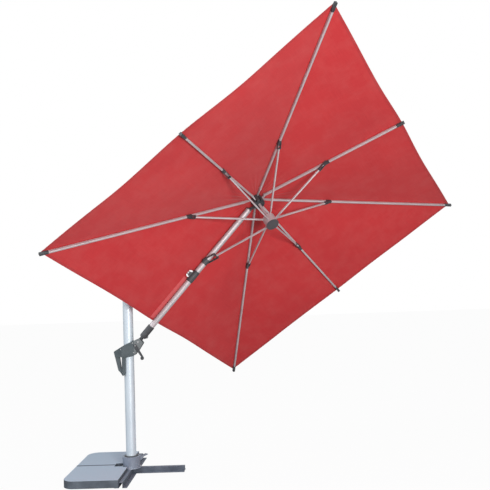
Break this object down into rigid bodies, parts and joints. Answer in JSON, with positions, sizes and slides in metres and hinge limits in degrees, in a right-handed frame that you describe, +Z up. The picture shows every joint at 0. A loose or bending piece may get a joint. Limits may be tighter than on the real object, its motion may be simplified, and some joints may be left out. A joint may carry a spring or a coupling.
{
  "type": "cantilever patio umbrella",
  "caption": "Cantilever patio umbrella: square canopy on folding ribs, tilting and rolling boom, crank housing sliding on a turning mast, weighted cross base.",
  "frame": {"origin": "on the floor, on the mast's axis, in the middle of the base's anchor holes", "axes": "+Z up along the mast, +X from the mast to the canopy, +Y away from the crank's side"},
  "size_m": [3.9, 2.8731, 3.8174],
  "materials": {
    "base_steel": "satin charcoal powder coat",
    "socket_paint": "satin slate powder coat",
    "bolt_steel": "zinc plated",
    "slab_shell": "grained grey-blue",
    "slab_core": "concrete filling",
    "mast_paint": "satin silver powder coat",
    "tube_paint": "satin silver powder coat",
    "track_black": "satin black",
    "dark_plastic": "fine grained charcoal",
    "housing_slate": "fine grained slate",
    "glide_nylon": "smooth",
    "pin_steel": "turned",
    "knob_chrome": "polished",
    "hub_plastic": "fine grained charcoal",
    "disc_grey": "smooth grey",
    "red_cloth": "woven polyester"
  },
  "bodies": {
    "base": {"cross_bar_long": "base_steel", "cross_bar_front": "base_steel", "cross_bar_back": "base_steel", "mast_socket": "socket_paint", "cross_bolts": "bolt_steel", "slab_front": "slab_shell", "slab_back": "slab_shell", "slab_fill_front": "slab_core", "slab_fill_back": "slab_core", "pedal_pin": "pin_steel"},
    "pedal": {"foot_pedal": "socket_paint"},
    "mast": {"mast_tube": "mast_paint", "latch_strip": "track_black", "mast_foot_bush": "dark_plastic", "mast_top_cap": "dark_plastic", "mast_head": "dark_plastic"},
    "support_arm": {"support_arm_tube": "tube_paint", "support_arm_ends": "dark_plastic", "support_arm_pins": "pin_steel"},
    "boom_carrier": {"boom_bracket": "dark_plastic", "swivel_neck": "pin_steel"},
    "boom": {"boom_tube": "tube_paint", "boom_collars": "dark_plastic", "swivel_sleeve": "dark_plastic", "swivel_bush": "glide_nylon", "boom_hub_fork": "dark_plastic", "boom_strut_clamp": "dark_plastic"},
    "lock_knob": {"lock_knob": "knob_chrome"},
    "housing": {"housing_shell_front": "housing_slate", "housing_shell_back": "housing_slate", "housing_screws": "bolt_steel", "housing_glides": "glide_nylon", "housing_pivot_pin": "pin_steel"},
    "latch_trigger": {"latch_trigger": "dark_plastic"},
    "crank": {"crank_shaft": "pin_steel", "crank_arm": "dark_plastic"},
    "crank_knob": {"crank_knob": "dark_plastic"},
    "hub": {"upper_hub": "hub_plastic", "upper_hub_pins": "pin_steel", "centre_tube": "tube_paint", "top_cap": "hub_plastic", "canopy": "red_cloth"},
    "lower_hub": {"lower_hub": "hub_plastic", "lower_hub_pins": "pin_steel", "lower_hub_cap": "disc_grey"},
    "rib_1": {"rib_1": "tube_paint"},
    "rib_2": {"rib_2": "tube_paint"},
    "rib_3": {"rib_3": "tube_paint"},
    "rib_4": {"rib_4": "tube_paint"},
    "rib_5": {"rib_5": "tube_paint"},
    "rib_6": {"rib_6": "tube_paint"},
    "rib_7": {"rib_7": "tube_paint"},
    "strut_0": {"strut_0": "tube_paint"},
    "strut_1": {"strut_1": "tube_paint"},
    "strut_2": {"strut_2": "tube_paint"},
    "strut_3": {"strut_3": "tube_paint"},
    "strut_4": {"strut_4": "tube_paint"},
    "strut_5": {"strut_5": "tube_paint"},
    "strut_6": {"strut_6": "tube_paint"},
    "strut_7": {"strut_7": "tube_paint"}
  },
  "joints": [
    {"name": "mast_turn", "type": "hinge", "parent": "base", "child": "mast", "pos_m": [0, 0, 0], "axis": [0, 0, 1], "continuous": true},
    {"name": "pedal_press", "type": "hinge", "parent": "base", "child": "pedal", "pos_m": [0.08195, 0.06403, 0.118], "axis": [-0.6157, 0.788, 0], "range_deg": [0, 12], "stiffness_Nm_per_rad": 2, "springref_deg": -17.19},
    {"name": "arm_swing", "type": "hinge", "parent": "mast", "child": "support_arm", "pos_m": [0.1, 0, 2.54406], "axis": [0, 1, 0], "range_deg": [-32, 34]},
    {"name": "bracket_pivot", "type": "hinge", "parent": "support_arm", "child": "boom_carrier", "pos_m": [0.60249, 0, 1.89203], "axis": [0, 1, 0], "range_deg": [-68.1, 64.1]},
    {"name": "housing_pivot", "type": "hinge", "parent": "boom_carrier", "child": "housing", "pos_m": [0.1, 0, 1.24], "axis": [0, 1, 0], "range_deg": [-32.05, 34.05]},
    {"name": "canopy_roll", "type": "hinge", "parent": "boom_carrier", "child": "boom", "pos_m": [0.1, 0, 1.24], "axis": [0.6665, 0, 0.7455], "range_deg": [0, 78.9]},
    {"name": "canopy_fold", "type": "hinge", "parent": "boom", "child": "hub", "pos_m": [1.27345, -0.02509, 2.5067], "axis": [0.4737, 0.7722, -0.4235], "range_deg": [0, 66], "deforming": ["canopy"]},
    {"name": "strut_fold_0", "type": "hinge", "parent": "boom", "child": "strut_0", "pos_m": [0.77358, 0, 1.99336], "axis": [-0.4737, -0.7722, 0.4235], "range_deg": [-132.1, 0.1]},
    {"name": "lower_hub_fold", "type": "hinge", "parent": "strut_0", "child": "lower_hub", "pos_m": [1.38958, -0.21477, 2.29074], "axis": [0.4737, 0.7722, -0.4235], "range_deg": [-66.05, 0.05]},
    {"name": "rib_fold_1", "type": "hinge", "parent": "hub", "child": "rib_1", "pos_m": [1.24287, -0.01322, 2.5776], "axis": [0.2287, -0.6672, 0.709], "range_deg": [-0.05, 66.05]},
    {"name": "strut_fold_1", "type": "hinge", "parent": "rib_1", "child": "strut_1", "pos_m": [0.67195, -0.40547, 2.39262], "axis": [0.2287, -0.6672, 0.709], "range_deg": [-132.1, 0.1]},
    {"name": "rib_fold_2", "type": "hinge", "parent": "hub", "child": "rib_2", "pos_m": [1.28026, -0.05697, 2.57424], "axis": [0.7971, -0.1713, 0.5791], "range_deg": [-0.05, 66.05]},
    {"name": "strut_fold_2", "type": "hinge", "parent": "rib_2", "child": "strut_2", "pos_m": [1.00675, -0.69233, 2.76273], "axis": [0.7971, -0.1713, 0.5791], "range_deg": [-132.1, 0.1]},
    {"name": "rib_fold_3", "type": "hinge", "parent": "hub", "child": "rib_3", "pos_m": [1.29923, -0.02534, 2.61855], "axis": [0.8985, 0.4249, 0.11], "range_deg": [-0.05, 66.05]},
    {"name": "strut_fold_3", "type": "hinge", "parent": "rib_3", "child": "strut_3", "pos_m": [1.51735, -0.58719, 3.00684], "axis": [0.8985, 0.4249, 0.11], "range_deg": [-132.1, 0.1]},
    {"name": "rib_fold_4", "type": "hinge", "parent": "hub", "child": "rib_4", "pos_m": [1.3438, -0.02692, 2.58202], "axis": [0.4737, 0.7722, -0.4235], "range_deg": [-0.05, 66.05]},
    {"name": "strut_fold_4", "type": "hinge", "parent": "rib_4", "child": "strut_4", "pos_m": [1.9598, -0.24169, 2.87941], "axis": [0.4737, 0.7722, -0.4235], "range_deg": [-132.1, 0.1]},
    {"name": "rib_fold_5", "type": "hinge", "parent": "hub", "child": "rib_5", "pos_m": [1.33272, 0.02926, 2.5886], "axis": [-0.2287, 0.6672, -0.709], "range_deg": [-0.05, 66.05]},
    {"name": "strut_fold_5", "type": "hinge", "parent": "rib_5", "child": "strut_5", "pos_m": [2.01977, 0.23183, 2.55763], "axis": [-0.2287, 0.6672, -0.709], "range_deg": [-132.1, 0.1]},
    {"name": "rib_fold_6", "type": "hinge", "parent": "hub", "child": "rib_6", "pos_m": [1.32763, 0.02025, 2.53189], "axis": [-0.7971, 0.1713, -0.5791], "range_deg": [-0.05, 66.05]},
    {"name": "strut_fold_6", "type": "hinge", "parent": "rib_6", "child": "strut_6", "pos_m": [1.71727, 0.46594, 2.12745], "axis": [-0.7971, 0.1713, -0.5791], "range_deg": [-132.1, 0.1]},
    {"name": "rib_fold_7", "type": "hinge", "parent": "hub", "child": "rib_7", "pos_m": [1.27636, 0.04138, 2.54765], "axis": [-0.8985, -0.4249, -0.11], "range_deg": [-0.05, 66.05]},
    {"name": "strut_fold_7", "type": "hinge", "parent": "rib_7", "child": "strut_7", "pos_m": [1.17436, 0.41355, 1.94341], "axis": [-0.8985, -0.4249, -0.11], "range_deg": [-132.1, 0.1]},
    {"name": "crank_turn", "type": "hinge", "parent": "housing", "child": "crank", "pos_m": [0.076, 0, 1.207], "axis": [0, -1, 0], "continuous": true},
    {"name": "crank_knob_spin", "type": "hinge", "parent": "crank", "child": "crank_knob", "pos_m": [0.148, 0, 1.09], "axis": [0, -1, 0], "continuous": true},
    {"name": "trigger_squeeze", "type": "slide", "parent": "housing", "child": "latch_trigger", "axis": [1, 0, 0], "range_m": [0, 0.005], "stiffness_N_per_m": 400, "springref_m": -0.01},
    {"name": "knob_pull", "type": "slide", "parent": "boom", "child": "lock_knob", "axis": [0.3727, 0.866, -0.3333], "range_m": [0, 0.004], "stiffness_N_per_m": 400, "springref_m": -0.01}
  ],
  "couplings": [
    {"joint": "bracket_pivot", "follows": "arm_swing", "ratio": -2},
    {"joint": "housing_pivot", "follows": "arm_swing", "ratio": 1},
    {"joint": "strut_fold_0", "follows": "canopy_fold", "ratio": -2},
    {"joint": "lower_hub_fold", "follows": "canopy_fold", "ratio": -1},
    {"joint": "rib_fold_1", "follows": "canopy_fold", "ratio": 1},
    {"joint": "strut_fold_1", "follows": "canopy_fold", "ratio": -2},
    {"joint": "rib_fold_2", "follows": "canopy_fold", "ratio": 1},
    {"joint": "strut_fold_2", "follows": "canopy_fold", "ratio": -2},
    {"joint": "rib_fold_3", "follows": "canopy_fold", "ratio": 1},
    {"joint": "strut_fold_3", "follows": "canopy_fold", "ratio": -2},
    {"joint": "rib_fold_4", "follows": "canopy_fold", "ratio": 1},
    {"joint": "strut_fold_4", "follows": "canopy_fold", "ratio": -2},
    {"joint": "rib_fold_5", "follows": "canopy_fold", "ratio": 1},
    {"joint": "strut_fold_5", "follows": "canopy_fold", "ratio": -2},
    {"joint": "rib_fold_6", "follows": "canopy_fold", "ratio": 1},
    {"joint": "strut_fold_6", "follows": "canopy_fold", "ratio": -2},
    {"joint": "rib_fold_7", "follows": "canopy_fold", "ratio": 1},
    {"joint": "strut_fold_7", "follows": "canopy_fold", "ratio": -2}
  ]
}
